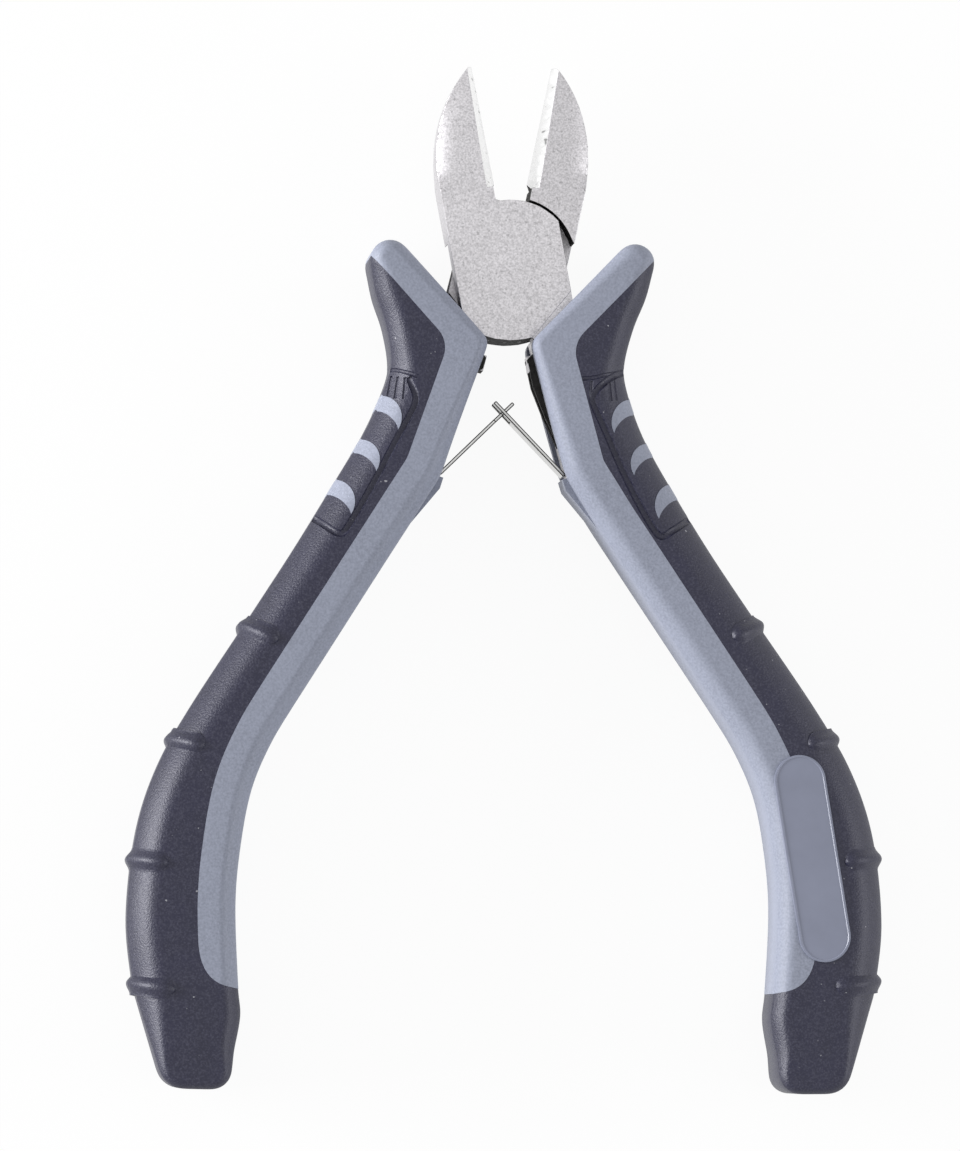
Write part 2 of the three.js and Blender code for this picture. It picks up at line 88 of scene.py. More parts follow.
# Grip outline, closed frame
ELBOW = mm(0.5, -9.0)
ELBOW_ROUND = 1.0 * MM
WING_ANGLE = math.radians(54.4)
WING_LENGTH = 15.75 * MM
WING_TIP_ROUND = 2.1 * MM
WING_FOOT = 14.0 * MM
NOTCH_END = mm(2.05, -24.0)
NOTCH_ROUND = 6.0 * MM
SHANK_START = mm(4.3, -29.9)
SHANK_END = mm(12.75, -51.2)
PALM_INNER = (mm(14.4, -55.8), mm(15.45, -61.0), mm(15.4, -67.0), mm(14.65, -73.3), mm(12.6, -81.6))
HEEL_INNER = (mm(11.7, -84.6), mm(11.6, -88.4))
BUTT_INNER_CORNER = mm(11.2, -92.5)
BUTT_OUTER_CORNER = mm(17.9, -93.75)
BUTT_INNER_ROUND = 2.1 * MM
BUTT_OUTER_ROUND = 2.6 * MM
WING_OUTER = (mm(13.4, -6.6), mm(11.6, -9.5), mm(10.1, -13.0), mm(9.95, -15.6))
SHANK_OUTER = (mm(10.9, -21.0), mm(13.0, -27.4), mm(15.5, -34.3), mm(18.35, -41.4), mm(23.2, -53.2))
PALM_OUTER = (mm(25.6, -60.6), mm(26.4, -68.0), mm(25.5, -77.0), mm(23.3, -84.0))

# Light strip's end at the butt, closed frame
STRIP_CORNER_ROUND = 3.0 * MM
STRIP_END = 81.9 * MM
STRIP_END_ROUND = 4.2 * MM
STRIP_END_LEAN = 1.0 * MM

# Head pocket and spring channel in the light core
HEAD_POCKET_R = 8.8 * MM
HEAD_POCKET_HALF = 3.5 * MM
CHANNEL_DEPTH = 0.6 * MM
CHANNEL_HALF = 2.8 * MM
CHANNEL_OPEN = 6.0 * MM
LIP_PROUD = 0.4 * MM
LIP_LENGTH = 1.2 * MM
LIP_HALF = 2.5 * MM

# Mouldings on the grips, closed frame
RIB_DROPS = (43.2 * MM, 56.6 * MM, 69.9 * MM, 82.7 * MM)
RIB_ENDS = (mm(15.7, -44.1), mm(21.2, -56.7), mm(22.5, -69.6), mm(19.0, -82.5))
RIB_LOWER = {"right": 0.0, "left": 0.9 * MM}
RIB_STEPS = 24
RIB_CREST_STEPS = 12
RIB_ROOT = 0.3 * MM
RIB_END_SHARE = 0.1
CRESCENTS = (
    (mm(9.98, -16.95), mm(10.15, -18.7), mm(7.65, -20.35)),
    (mm(11.08, -21.95), mm(11.5, -23.55), mm(8.95, -25.15)),
    (mm(12.7, -26.7), mm(13.3, -28.5), mm(10.65, -30.2)),
)
CRESCENT_OVERRUN = 2.5 * MM
CRESCENT_BOW = 1.0 * MM
CRESCENT_HOLLOW = 0.4 * MM
RIGHT_GROOVE = (
    mm(10.4, -13.9), mm(8.7, -14.28), mm(7.52, -14.81), mm(6.52, -15.48), mm(5.93, -16.34),
    mm(6.0, -17.11), mm(6.82, -20.18), mm(7.77, -24.24), mm(8.84, -28.23), mm(10.0, -31.5),
    mm(10.73, -32.12), mm(11.89, -31.69), mm(15.6, -30.2),
)
LEFT_GROOVE = (
    mm(8.0, -14.7), mm(7.6, -15.2), mm(7.1, -15.8), mm(6.7, -16.5), mm(6.55, -17.3),
    mm(6.8, -18.56), mm(7.6, -21.44), mm(8.76, -25.7), mm(9.86, -29.18), mm(10.9, -32.0),
    mm(11.41, -32.45), mm(12.45, -32.2), mm(16.0, -30.4),
)
RIGHT_STEP = (mm(5.0, -13.97), mm(6.4, -14.1), mm(7.7, -14.05), mm(11.5, -14.0))
LEFT_STEP = (mm(7.0, -14.4), mm(7.6, -14.3), mm(8.8, -14.18), mm(9.9, -14.15), mm(12.0, -14.6))
LEFT_BARS = (
    (mm(9.7, -14.75), mm(9.55, -17.2)),
    (mm(9.05, -14.75), mm(8.8, -17.15)),
    (mm(8.3, -14.75), mm(7.9, -17.05)),
)
RIGHT_BARS = (
    (mm(8.6, -14.7), mm(8.55, -16.9)),
    (mm(8.0, -14.95), mm(7.9, -16.9)),
    (mm(6.1, -14.4), mm(5.75, -16.3)),
)
GROOVE_SINK = 0.1 * MM

# Both grips have a thumb pad on each face: the left grip, turned over, shows the one on its back
THUMB_PADS = ((1, RIGHT_GROOVE, RIGHT_STEP, RIGHT_BARS), (-1, LEFT_GROOVE, LEFT_STEP, LEFT_BARS))

# Bare raised pad, closed frame
PAD_CENTRE = mm(19.2, -68.6)
PAD_TILT = math.radians(2.2)
PAD_ROOT = 1.0 * MM
PAD_ROUND = 0.08 * MM
PAD_RIM = 0.14 * MM
PAD_RIM_SLOPE = 0.08 * MM
PAD_SINK = 0.07 * MM
PAD_COAT = 1

# Mesh resolution
OUTLINE_STEP = 0.4 * MM
SLOPE_TILTS = range(66, 40, -4)
SLOPE_RUN = 3.0
RIDGE_TILTS = range(38, 0, -5)
RIDGE_RUN = 1.6
ARC_STEP = math.radians(6)
CURVE_POINTS = 12
TUBE_SIDES = 12
FAR = 60.0 * MM

# Faces that meet at less than these angles are shaded as one surface
GRIP_SMOOTH = math.radians(32)
FORGING_SMOOTH = math.radians(20)
STRIP_SMOOTH = math.radians(14)

# A face looks up or down where its normal's z passes the first value, and sideways under the second
LOOKS_UP = 0.9
LOOKS_SIDEWAYS = 0.5

LENGTH_DIGITS = 5


def length_property(name, description, default):
    return bpy.props.FloatProperty(
        name=name, description=description, default=default, unit="LENGTH", precision=LENGTH_DIGITS)


def colour_property(name, description, default):
    return bpy.props.FloatVectorProperty(
        name=name, description=description, default=default, subtype="COLOR", size=3, min=0.0, max=1.0)


GRIP_LOW, GRIP_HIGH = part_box("right_grip_overmould")


class CuttersGripSizes(bpy.types.PropertyGroup):
    """Sizes of the two-colour grips."""
    thickness: length_property("Thickness", "Front face to back face of a grip", GRIP_HIGH.z - GRIP_LOW.z)
    outer_shoulder: length_property("Outer shoulder", "Width of the sloping outer edge", 3.5 * MM)
    wing_shoulder: length_property("Wing shoulder", "Width of the outer edge along the wing", 2.3 * MM)
    inner_shoulder: length_property("Inner shoulder", "Width of the sloping inner edge", 1.9 * MM)
    elbow_shoulder: length_property("Elbow shoulder", "Width of the sloping edge at the elbow", 0.9 * MM)
    tip_shoulder: length_property("Tip shoulder", "Width of the sloping edge at the wing tip", 1.3 * MM)
    butt_shoulder: length_property("Butt shoulder", "Width of the sloping edge at the butt", 0.75 * MM)
    strip_width: length_property("Strip width", "Width of the light strip along the handle", 4.05 * MM)
    wing_strip: length_property("Wing strip width", "Width of the light strip along the wing", 3.35 * MM)
    seam_overlap: length_property("Seam overlap", "Dark moulding hidden under the light strip", 0.4 * MM)
    proud: length_property("Light proud", "Light surface above the dark one", 0.02 * MM)
    rib_width: length_property("Rib width", "Width of a finger rib", 2.5 * MM)
    rib_height: length_property("Rib height", "Height of a finger rib", 0.6 * MM)
    groove_r: length_property("Groove radius", "Radius of the thumb pad's groove", 0.42 * MM)
    step_r: length_property("Step radius", "Radius of the groove across the wing's foot", 0.26 * MM)
    bar_r: length_property("Bar radius", "Radius of the short grooves by the thumb pad", 0.24 * MM)
    pad_length: length_property("Pad length", "Length of the bare raised pad", 22.2 * MM)
    pad_width: length_property("Pad width", "Width of the bare raised pad", 5.5 * MM)
    pad_proud: length_property("Pad height", "Height of the raised pad", 0.25 * MM)


class CuttersSteelSizes(bpy.types.PropertyGroup):
    """Sizes of the forged halves' and the springs' edges."""
    edge_round: length_property("Edge rounding", "Rounding of the forged edges", 0.05 * MM)
    crown_drop: length_property("Jaw crown", "How far the jaws' faces fall away at the rim", 0.72 * MM)
    crown_width: length_property("Jaw crown width", "Width of the jaw's face that falls away", 2.7 * MM)
    spring_round: length_property("Spring edge rounding", "Rounding of the spring strips' edges", 0.11 * MM)


class CuttersColours(bpy.types.PropertyGroup):
    """Colours of the finishes."""
    steel: colour_property("Blasted steel", "Forged halves", (0.62, 0.605, 0.625))
    ground: colour_property("Ground steel", "Cutting edges", (0.9, 0.9, 0.9))
    # Painted shade: this dark colour stands in for the shade on the walls round the joint and on the
    # springs' rounded edges
    wall: colour_property(
        "Dark steel", "Walls round the joint and rounded edges of the springs", (0.03, 0.029, 0.028))
    spring: colour_property("Spring steel", "Leaf springs", (0.66, 0.66, 0.65))
    light: colour_property("Light grip", "Hard core of the grips", (0.228, 0.245, 0.306))
    pad: colour_property("Pad", "Bare raised pad", (0.208, 0.224, 0.298))
    scuffed: colour_property("Scuffed light grip", "Worn wing tips", (0.4, 0.41, 0.47))
    dark: colour_property("Dark grip", "Soft overmould of the grips", (0.002, 0.002, 0.018))
    speckle: colour_property("Dark grip speckle", "Grain of the overmould", (0.032, 0.032, 0.056))
    dust: colour_property("Dust", "Specks on the overmould", (0.3, 0.3, 0.33))
    floor: colour_property("Floor", "Plain floor under the tool", (0.9, 0.9, 0.9))


# Plane geometry: outlines run counter-clockwise
def heading(angle):
    return Vector((math.sin(angle), math.cos(angle)))


def left_of(way):
    return Vector((-way.y, way.x))


def direction(start, end):
    return (end - start).normalized()


def arc(centre, radius, start, end):
    steps = max(2, math.ceil(abs(end - start) / ARC_STEP))
    angles = [start + (end - start) * i / steps for i in range(steps + 1)]
    return [centre + Vector((math.cos(a), math.sin(a))) * radius for a in angles]


def turn_angle(way):
    return math.atan2(way.y, way.x)


def rounded(before, corner, after, radius):
    """The arc that rounds a corner."""
    back = direction(corner, before)
    ahead = direction(corner, after)
    half = back.angle(ahead) / 2
    centre = corner + (back + ahead).normalized() * (radius / math.sin(half))
    start = turn_angle(corner + back * (radius / math.tan(half)) - centre)
    end = turn_angle(corner + ahead * (radius / math.tan(half)) - centre)
    sweep = (end - start + math.pi) % (2 * math.pi) - math.pi
    return arc(centre, radius, start, start + sweep)


def spline(knots, spacing):
    """Points along a smooth curve through the knots."""
    knots = [knot.to_3d() for knot in knots]
    chain = [knots[0], *knots, knots[-1]]
    line = [knots[0]]
    for before, start, end, after in zip(chain, chain[1:], chain[2:], chain[3:]):
        steps = max(2, math.ceil((end - start).length / spacing))
        leave = start + (end - before) / 6
        arrive = end - (after - start) / 6
        line += interpolate_bezier(start, leave, arrive, end, steps + 1)[1:]
    return [p.to_2d() for p in line]


def offset_line(points, distance):
    """An open line moved to its left by a distance, corners mitred."""
    moved = []
    for before, here, after in zip([None, *points], points, [*points[1:], None]):
        back = direction(before, here) if before else direction(here, after)
        ahead = direction(here, after) if after else back
        normal = (left_of(back) + left_of(ahead)).normalized()
        moved.append(here + normal * (distance / normal.dot(left_of(back))))
    return moved


def stadium(start, end, radius):
    angle = turn_angle(end - start)
    quarter = math.pi / 2
    far = arc(end, radius, angle - quarter, angle + quarter)
    near = arc(start, radius, angle + quarter, angle + 3 * quarter)
    return far + near


# Grip edges
WING = heading(WING_ANGLE)
WING_END = ELBOW + WING * WING_LENGTH
WING_TIP_CENTRE = WING_END - WING * WING_TIP_ROUND - left_of(WING) * WING_TIP_ROUND
WING_BACK = direction(WING_OUTER[0], WING_OUTER[1])
WING_TIP = arc(WING_TIP_CENTRE, WING_TIP_ROUND, turn_angle(left_of(WING_BACK)), turn_angle(left_of(WING)))
NOTCH = direction(ELBOW, NOTCH_END)
INNER_PALM = spline((SHANK_END, *PALM_INNER, *HEEL_INNER), OUTLINE_STEP)
INNER_RUN = [*rounded(ELBOW, NOTCH_END, SHANK_START, NOTCH_ROUND), SHANK_START, *INNER_PALM]
OUTER_EDGE = spline((WING_TIP[0], *WING_OUTER, *SHANK_OUTER, *PALM_OUTER), OUTLINE_STEP)


def outer_edge_at(drop):
    """The outer edge's point at a distance below the pivot."""
    for start, end in zip(OUTER_EDGE, OUTER_EDGE[1:]):
        if end.y < -drop:
            return start.lerp(end, (start.y + drop) / (start.y - end.y))
    raise ValueError("the grip's outer edge doesn't reach that far down")


def grip_stations(size):
    """The grip's outline, each point with the width of its sloping shoulder."""
    butt_inner = rounded(INNER_PALM[-1], BUTT_INNER_CORNER, BUTT_OUTER_CORNER, BUTT_INNER_ROUND)
    butt_outer = rounded(BUTT_INNER_CORNER, BUTT_OUTER_CORNER, OUTER_EDGE[-1], BUTT_OUTER_ROUND)
    wing = sum(point.y > -WING_FOOT for point in OUTER_EDGE)
    sections = (
        (rounded(WING_END, ELBOW, NOTCH_END, ELBOW_ROUND), size.elbow_shoulder),
        (INNER_RUN, size.inner_shoulder),
        (butt_inner + butt_outer, size.butt_shoulder),
        (OUTER_EDGE[:wing - 1:-1], size.outer_shoulder),
        (OUTER_EDGE[wing - 1:0:-1], size.wing_shoulder),
        (WING_TIP, size.tip_shoulder),
    )
    raw = [Vector((point.x, point.y, width)) for points, width in sections for point in points]
    return even_stations(raw)


def even_stations(rows, outline_passes=2, shoulder_passes=24):
    """The same closed outline at an even spacing, with kinks and jumps of the shoulder smoothed."""
    even = []
    spare = 0.0
    for start, end in zip(rows, rows[1:] + rows[:1]):
        run = (end.xy - start.xy).length
        while spare < run:
            even.append(start.lerp(end, spare / run))
            spare += OUTLINE_STEP
        spare -= run
    for count in range(shoulder_passes):
        before = even[-1:] + even[:-1]
        after = even[1:] + even[:1]
        mean = [(a + 2 * b + c) / 4 for a, b, c in zip(before, even, after)]
        if count >= outline_passes:
            mean = [Vector((old.x, old.y, new.z)) for old, new in zip(even, mean)]
        even = mean
    return even


def shoulder_profile():
    """A shoulder's section in shares of its width, wall to flat: a broad slope, then a tight ridge."""
    steps = [(math.radians(tilt), SLOPE_RUN) for tilt in SLOPE_TILTS]
    steps += [(math.radians(tilt), RIDGE_RUN) for tilt in RIDGE_TILTS]
    points = [Vector((0.0, 0.0))]
    for tilt, run in steps:
        points.append(points[-1] + Vector((math.cos(tilt), math.sin(tilt))) * run)
    return [Vector((p.x, p.y - points[-1].y)) / points[-1].x for p in points]


def shoulder_drop(share):
    """How far below the flat the shoulder is, at a share of its width in from the wall."""
    for low, high in zip(SHOULDER, SHOULDER[1:]):
        if share <= high.x:
            part = (max(share, 0.0) - low.x) / (high.x - low.x)
            return -(low.y + (high.y - low.y) * part)
    return 0.0


SHOULDER = shoulder_profile()


def inward_ways(points):
    before = points[-1:] + points[:-1]
    after = points[1:] + points[:1]
    return [left_of(direction(a, b)) for a, b in zip(before, after)]


def strip_outline(width, wing_width):
    """The band along the wing's and the handle's inner edge, open on the inner side."""
    run = [p for p in offset_line([ELBOW, *INNER_RUN], width) if p.y > STRIP_END_ROUND - STRIP_END]
    wing_line = ELBOW - left_of(WING) * wing_width
    far = wing_line + WING * FAR
    crossing = intersect_line_line_2d(
        far, wing_line - WING * FAR, run[1] - NOTCH * FAR, run[1] + NOTCH * FAR)
    corner = rounded(far, crossing, run[1], STRIP_CORNER_ROUND)
    last = run[-1]
    lean = Vector((last.x - STRIP_END_LEAN, -STRIP_END))
    foot = Vector((last.x - STRIP_END_ROUND, -STRIP_END))
    handles = (last, last.lerp(lean, 2 / 3), foot.lerp(lean, 2 / 3), foot)
    turn = interpolate_bezier(*[p.to_3d() for p in handles], CURVE_POINTS)
    edge = [far, *corner, *run[1:], *[p.to_2d() for p in turn[1:]]]
    outside = [Vector((-FAR, -STRIP_END)), Vector((-FAR, 2 * FAR)), Vector((far.x, 2 * FAR))]
    return list(reversed(edge + outside))


# Meshes
def loft(bm, rings):
    """A closed body through rings of points, extruded ring by ring and capped at both ends."""
    station = bm.verts.layers.int.get("station") or bm.verts.layers.int.new("station")
    verts = [bm.verts.new(p) for p in rings[0]]
    for i, vert in enumerate(verts):
        vert[station] = i
    edges = [bm.edges.new(pair) for pair in zip(verts, verts[1:] + verts[:1])]
    bmesh.ops.edgeloop_fill(bm, edges=edges)
    for ring in rings[1:]:
        made = bmesh.ops.extrude_edge_only(bm, edges=edges)["geom"]
        edges = [g for g in made if isinstance(g, bmesh.types.BMEdge) and g.is_boundary]
        for vert in [g for g in made if isinstance(g, bmesh.types.BMVert)]:
            vert.co = ring[vert[station]]
    bmesh.ops.edgeloop_fill(bm, edges=edges)


def prism(outline, low, high):
    bm = bmesh.new()
    loft(bm, [[(p.x, p.y, z) for p in outline] for z in (low, high)])
    return closed_object("prism", bm)


def slab(stations, half, grow=0.0):
    """The grip's blank: a flat slab with a sloping shoulder of its own width at each station."""
    points = [row.xy for row in stations]
    ways = inward_ways(points)

    def ring(face, section):
        ends = []
        for row, point, way in zip(stations, points, ways):
            flat = point + way * (row.z * section.x - grow)
            ends.append((flat.x, flat.y, face * (half + grow + row.z * section.y)))
        return ends

    bm = bmesh.new()
    loft(bm, [ring(-1, p) for p in reversed(SHOULDER)] + [ring(1, p) for p in SHOULDER])
    return closed_object("slab", bm)


def closed_object(name, bm):
    bmesh.ops.recalc_face_normals(bm, faces=bm.faces)
    mesh = bpy.data.meshes.new(name)
    bm.to_mesh(mesh)
    bm.free()
    piece = bpy.data.objects.new(name, mesh)
    bpy.context.scene.collection.objects.link(piece)
    return piece


def boolean(piece, operation, *others):
    """The piece joined with, cut by or kept inside the others, which are used up."""
    for other in others:
        modifier = piece.modifiers.new(operation, "BOOLEAN")
        modifier.operation = operation
        modifier.solver = "EXACT"
        modifier.object = other
    graph = bpy.context.evaluated_depsgraph_get()
    made = bpy.data.meshes.new_from_object(piece.evaluated_get(graph))
    piece.modifiers.clear()
    old = piece.data
    piece.data = made
    bpy.data.meshes.remove(old)
    for other in others:
        discard(other)
    return piece


def discard(piece):
    mesh = piece.data
    bpy.data.objects.remove(piece)
    bpy.data.meshes.remove(mesh)


def gather(piece, *others):
    """The others' shells added to the piece's mesh, as they are."""
    bm = bmesh.new()
    for part in (piece, *others):
        bm.from_mesh(part.data)
    bm.to_mesh(piece.data)
    bm.free()
    for other in others:
        discard(other)
    return piece


def smooth_faces(piece, limit):
    """Smooth shading, sharp where faces meet at more than the limit."""
    bm = bmesh.new()
    bm.from_mesh(piece.data)
    for face in bm.faces:
        face.smooth = True
    for edge in bm.edges:
        edge.smooth = len(edge.link_faces) == 2 and edge.calc_face_angle(0.0) < limit
    bm.to_mesh(piece.data)
    bm.free()


def copied(piece, name):
    twin = bpy.data.objects.new(name, piece.data.copy())
    bpy.context.scene.collection.objects.link(twin)
    return twin


def bow(mesh):
    """The mesh with its points moved left in the middle of the handles."""
    bm = bmesh.new()
    bm.from_mesh(mesh)
    for vert in bm.verts:
        away = vert.co.y - BOW_CENTRE
        share = away / (BOW_REACH_UP if away > 0 else BOW_REACH_DOWN)
        vert.co.x -= BOW * math.exp(-share * share)
    bm.to_mesh(mesh)
    bm.free()


def finish_piece(piece, name, body, nodes, materials):
    piece.name = name
    piece.data.name = name
    bow(piece.data)
    for material in materials:
        piece.data.materials.append(material)
    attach(piece, body)
    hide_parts(*nodes)


# Finishes
WHITE = (1.0, 1.0, 1.0, 1.0)
WORN_REACH = 5.5 * MM

# Most of a noise texture lies between these values
NOISE_LOW = 0.3
NOISE_HIGH = 0.7

# A mix node's colour sockets
MIX_COLOURS = (6, 7)
MIX_RESULT = 2


class Finish:
    """A node material under construction: a principled shader and helpers that add to it."""

    def __init__(self, name, colour, roughness, metallic=0.0):
        self.material = bpy.data.materials.new(name)
        self.material.use_nodes = True
        self.tree = self.material.node_tree
        self.shader = self.tree.nodes["Principled BSDF"]
        self.shader.inputs["Base Color"].default_value = (*colour, 1.0)
        self.shader.inputs["Roughness"].default_value = roughness
        self.shader.inputs["Metallic"].default_value = metallic
        self.place = self.tree.nodes.new("ShaderNodeTexCoord").outputs["Object"]

    def link(self, output, node, socket):
        self.tree.links.new(output, node.inputs[socket])

    def noise(self, scale, detail=2.0, stretch=(1.0, 1.0, 1.0), turn=0.0):
        mapping = self.tree.nodes.new("ShaderNodeMapping")
        mapping.inputs["Scale"].default_value = stretch
        mapping.inputs["Rotation"].default_value = (0.0, 0.0, turn)
        texture = self.tree.nodes.new("ShaderNodeTexNoise")
        texture.inputs["Scale"].default_value = scale
        texture.inputs["Detail"].default_value = detail
        self.link(self.place, mapping, "Vector")
        self.link(mapping.outputs["Vector"], texture, "Vector")
        return texture.outputs["Fac"]

    def span(self, value, low, high, to_low=0.0, to_high=1.0):
        node = self.tree.nodes.new("ShaderNodeMapRange")
        limits = {"From Min": low, "From Max": high, "To Min": to_low, "To Max": to_high}
        for socket, number in limits.items():
            node.inputs[socket].default_value = number
        self.link(value, node, "Value")
        return node.outputs["Result"]

    def spread(self, noise, to_low=0.0, to_high=1.0):
        return self.span(noise, NOISE_LOW, NOISE_HIGH, to_low, to_high)

    def mix(self, share, first, second):
        node = self.tree.nodes.new("ShaderNodeMix")
        node.data_type = "RGBA"
        for index, colour in zip(MIX_COLOURS, (first, second)):
            if isinstance(colour, bpy.types.NodeSocket):
                self.tree.links.new(colour, node.inputs[index])
            else:
                node.inputs[index].default_value = (*colour, 1.0)
        self.tree.links.new(share, node.inputs[0])
        return node.outputs[MIX_RESULT]

    def nearness(self, centre, reach):
        """1 at a point of the object, falling to 0 at the reach."""
        node = self.tree.nodes.new("ShaderNodeVectorMath")
        node.operation = "DISTANCE"
        node.inputs[1].default_value = centre
        self.link(self.place, node, 0)
        return self.span(node.outputs["Value"], 0.0, reach, 1.0, 0.0)

    def maths(self, operation, first, second):
        node = self.tree.nodes.new("ShaderNodeMath")
        node.operation = operation
        for index, value in enumerate((first, second)):
            if isinstance(value, bpy.types.NodeSocket):
                self.tree.links.new(value, node.inputs[index])
            else:
                node.inputs[index].default_value = value
        return node.outputs[0]

    def colour(self, output):
        self.link(output, self.shader, "Base Color")

    def roughness(self, output):
        self.link(output, self.shader, "Roughness")

    def specular(self, level):
        self.shader.inputs["Specular IOR Level"].default_value = level

    def bump(self, height, strength, distance):
        node = self.tree.nodes.new("ShaderNodeBump")
        node.inputs["Strength"].default_value = strength
        node.inputs["Distance"].default_value = distance
        self.link(height, node, "Height")
        self.link(node.outputs["Normal"], self.shader, "Normal")


def dim(colour, share):
    return tuple(channel * share for channel in colour)


def blasted_steel(colours, name, share):
    """The forgings' finish, a share of the full brightness: a share under 1 paints shade on a darker copy of
    the same steel.
    """
    bright = dim(colours.steel, share)
    finish = Finish(name, bright, roughness=0.42, metallic=1.0)
    grain = finish.noise(scale=5200.0, detail=3.0)
    pits = finish.span(finish.noise(scale=3400.0), 0.58, 0.72)
    tone = finish.mix(finish.span(grain, 0.35, 0.65), dim(bright, 0.78), dim(bright, 1.12))
    tone = finish.mix(finish.maths("MULTIPLY", pits, 0.55), tone, dim(bright, 0.4))
    finish.colour(tone)
    finish.roughness(finish.spread(finish.noise(scale=220.0), 0.36, 0.48))
    finish.bump(grain, strength=0.35, distance=0.03 * MM)
    return finish.material


def ground_steel(colours):
    finish = Finish("ground_steel", colours.ground, roughness=0.3, metallic=1.0)
    marks = finish.noise(scale=700.0, detail=1.0, stretch=(0.15, 2.6, 1.0), turn=math.radians(35))
    finish.colour(finish.mix(finish.span(marks, 0.24, 0.32), dim(colours.ground, 0.4), colours.ground))
    finish.roughness(finish.spread(marks, 0.22, 0.4))
    finish.bump(marks, strength=0.2, distance=0.01 * MM)
    return finish.material


# Painted shade: a dark, dull steel for walls round the joint, the rails and the springs' rounded edges,
# which are dark only from shade
def painted_shade_steel(colours):
    finish = Finish("painted_shade_steel", colours.wall, roughness=0.7)
    finish.specular(0.15)
    cloud = finish.noise(scale=1400.0, detail=4.0)
    finish.colour(finish.mix(finish.span(cloud, 0.35, 0.7), dim(colours.wall, 0.6), dim(colours.wall, 1.6)))
    finish.roughness(finish.spread(cloud, 0.6, 0.8))
    return finish.material


def spring_steel(colours):
    finish = Finish("spring_steel", colours.spring, roughness=0.28, metallic=1.0)
    rolled = finish.noise(scale=900.0, detail=3.0, stretch=(1.0, 1.0, 14.0))
    finish.colour(finish.mix(rolled, dim(colours.spring, 0.7), dim(colours.spring, 1.15)))
    finish.roughness(finish.spread(rolled, 0.2, 0.36))
    return finish.material


def light_grip(colours):
    finish = Finish("light_grip", colours.light, roughness=0.5)
    finish.specular(0.25)
    cloud = finish.noise(scale=180.0, detail=4.0)
    grain = finish.noise(scale=4200.0, detail=3.0)
    tone = finish.mix(finish.spread(cloud), dim(colours.light, 0.94), dim(colours.light, 1.07))
    tone = finish.mix(finish.spread(grain, 0.0, 0.8), tone, dim(colours.light, 1.4))
    patches = finish.span(finish.noise(scale=420.0, detail=5.0), 0.35, 0.6, 0.0, 0.6)
    for side in SIDES:
        tip = closed_to_row(side) @ WING_TIP_CENTRE.to_3d()
        worn = finish.maths("MULTIPLY", finish.nearness(tip, WORN_REACH), patches)
        tone = finish.mix(worn, tone, colours.scuffed)
    finish.colour(tone)
    finish.roughness(finish.spread(cloud, 0.44, 0.54))
    finish.bump(grain, strength=0.45, distance=0.05 * MM)
    return finish.material


def pad_grip(colours):
    finish = Finish("pad_grip", colours.pad, roughness=0.3)
    cloud = finish.noise(scale=260.0, detail=3.0)
    finish.colour(finish.mix(finish.spread(cloud), dim(colours.pad, 0.95), dim(colours.pad, 1.06)))
    finish.roughness(finish.spread(cloud, 0.27, 0.36))
    return finish.material


def dark_grip(colours):
    finish = Finish("dark_grip", colours.dark, roughness=0.45)
    finish.specular(0.6)
    finish.shader.inputs["Specular Tint"].default_value = (0.93, 0.93, 1.0, 1.0)
    grain = finish.noise(scale=5200.0, detail=4.0)
    cloud = finish.noise(scale=260.0, detail=3.0)
    dust = finish.noise(scale=1900.0, detail=1.0)
    tone = finish.mix(finish.spread(cloud), dim(colours.dark, 0.85), dim(colours.dark, 1.15))
    tone = finish.mix(finish.span(grain, 0.44, 0.72), tone, colours.speckle)
    finish.colour(finish.mix(finish.span(dust, 0.78, 0.82), tone, colours.dust))
    finish.roughness(finish.spread(grain, 0.38, 0.52))
    finish.bump(grain, strength=0.7, distance=0.09 * MM)
    return finish.material


# Grips
def bowed(start, end, rise):
    """A curve from start to end that bows out to its left."""
    lift = left_of(direction(start, end)) * (rise * 4 / 3)
    handles = (start, start.lerp(end, 1 / 4) + lift, start.lerp(end, 3 / 4) + lift, end)
    return [p.to_2d() for p in interpolate_bezier(*[p.to_3d() for p in handles], CURVE_POINTS)]


def crescent_prism(corners, half):
    """A light window: from the outer edge in to a point, bowed above and hollow below."""
    top, bottom, tip = corners
    out = direction(tip, top.lerp(bottom, 0.5)) * CRESCENT_OVERRUN
    upper = bowed(tip, top, CRESCENT_BOW)
    lower = bowed(tip, bottom, CRESCENT_HOLLOW)
    return prism([bottom + out, top + out, *reversed(upper), *lower[1:]], -half, half)


def coat(piece, index):
    """The piece with all its faces in the material of that index."""
    for face in piece.data.polygons:
        face.material_index = index
    return piece


def pad_piece(size, half):
    """The bare raised pad, with a fine rim."""
    run = heading(PAD_TILT) * ((size.pad_length - size.pad_width) / 2)
    outline = stadium(PAD_CENTRE - run, PAD_CENTRE + run, size.pad_width / 2)
    bm = bmesh.new()
    loft(bm, [[(p.x, p.y, z) for p in outline] for z in (half - PAD_ROOT, half + size.pad_proud)])
    bmesh.ops.recalc_face_normals(bm, faces=bm.faces)
    top = max(bm.faces, key=lambda face: face.calc_center_median().z)
    bmesh.ops.bevel(
        bm, geom=list(top.edges), offset=PAD_ROUND, affect="EDGES", segments=2, profile=0.5, material=-1)
    top = max(bm.faces, key=lambda face: face.calc_area() if face.normal.z > LOOKS_UP else 0.0)
    bmesh.ops.inset_region(bm, faces=[top], thickness=PAD_RIM, depth=0.0)
    bmesh.ops.inset_region(bm, faces=[top], thickness=PAD_RIM_SLOPE, depth=-PAD_SINK)
    return coat(closed_object("pad", bm), PAD_COAT)


